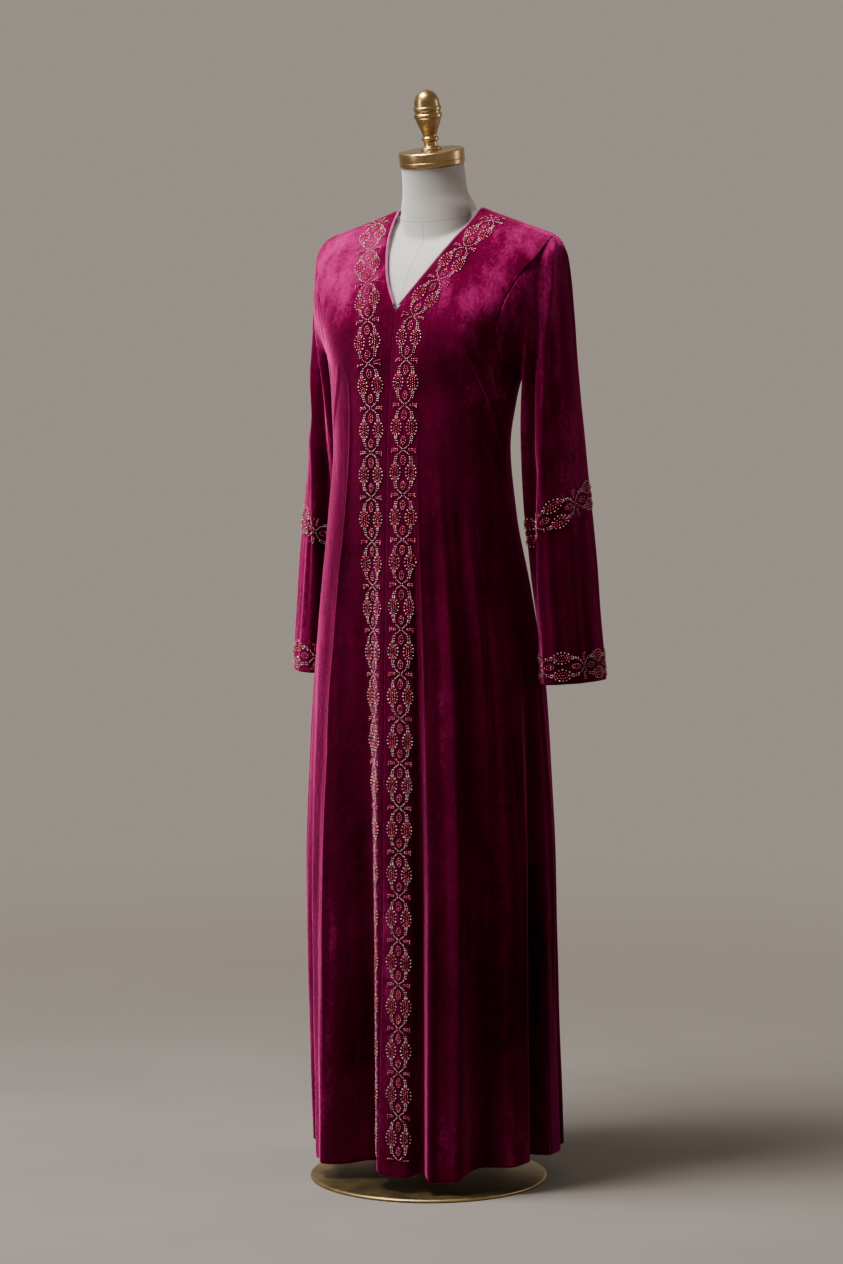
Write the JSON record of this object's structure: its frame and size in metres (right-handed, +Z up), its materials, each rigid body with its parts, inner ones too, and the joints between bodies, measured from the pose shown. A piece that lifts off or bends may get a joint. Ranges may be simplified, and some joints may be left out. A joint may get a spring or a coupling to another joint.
{
  "type": "kaftan on a dress form",
  "caption": "Full-length long-sleeved velvet kaftan with a V neck and bead-banded front, worn on a limbless dress form with a round metal base.",
  "frame": {"origin": "centre of the underside of the form's round base plate, on the floor", "axes": "+Z up, the garment's front faces -Y, +X is towards the wearer's left"},
  "size_m": [0.504, 0.3632, 1.5944],
  "materials": {
    "velvet": "deep raspberry silk velvet with a short directional pile",
    "binding": "lighter mauve-pink rolled velvet edge",
    "form_cover": "pale grey linen-look cover",
    "brass": "satin brass",
    "aged_brass": "dull antique brass",
    "beads_silver": "silver-lined glass seed beads",
    "beads_red": "red and garnet glass seed beads",
    "thread": "sewing thread"
  },
  "bodies": {
    "root": {"front_right": "velvet", "front_left": "velvet", "back": "velvet", "sleeve_right": "velvet", "sleeve_left": "velvet", "neck_binding": "binding", "form_torso": "form_cover", "form_neck_cap": "brass", "form_finial": "brass", "form_pole": "aged_brass", "form_base": "aged_brass"}
  },
  "joints": []
}
